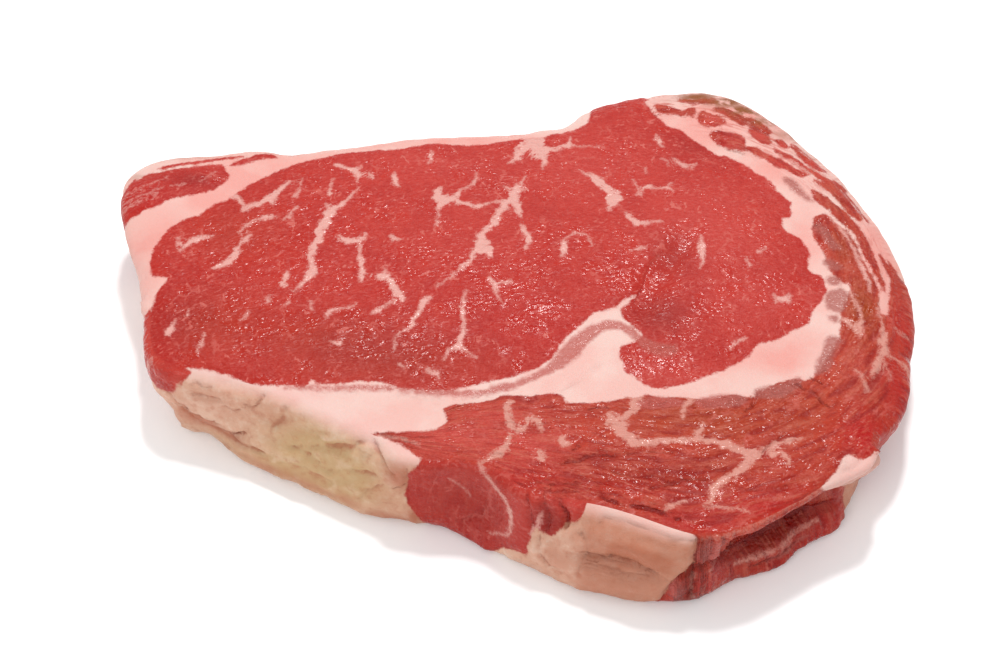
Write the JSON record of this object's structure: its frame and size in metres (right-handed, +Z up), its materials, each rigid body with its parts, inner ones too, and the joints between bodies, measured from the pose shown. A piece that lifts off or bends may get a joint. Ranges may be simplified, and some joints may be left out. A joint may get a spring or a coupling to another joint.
{
  "type": "raw ribeye steak",
  "caption": "Thick raw beef steak: a marbled eye muscle with a curved outer cap, a wedge and rind of fat, an uneven cut face and a flat underside.",
  "frame": {"origin": "centre of the bounding box at the level of the flat underside", "axes": "+X along the long way of the slice, towards the end with the wide cap; +Y from the front edge, which shows the fat face, to the back; +Z up through the thickness"},
  "size_m": [0.2064, 0.1546, 0.0275],
  "materials": {
    "raw_beef": "moist raw red muscle marbled with pale pink fat, satin with small wet glints; a cream to beige fat rind at the edge"
  },
  "bodies": {
    "root": {"ribeye_steak": "raw_beef"}
  },
  "joints": []
}
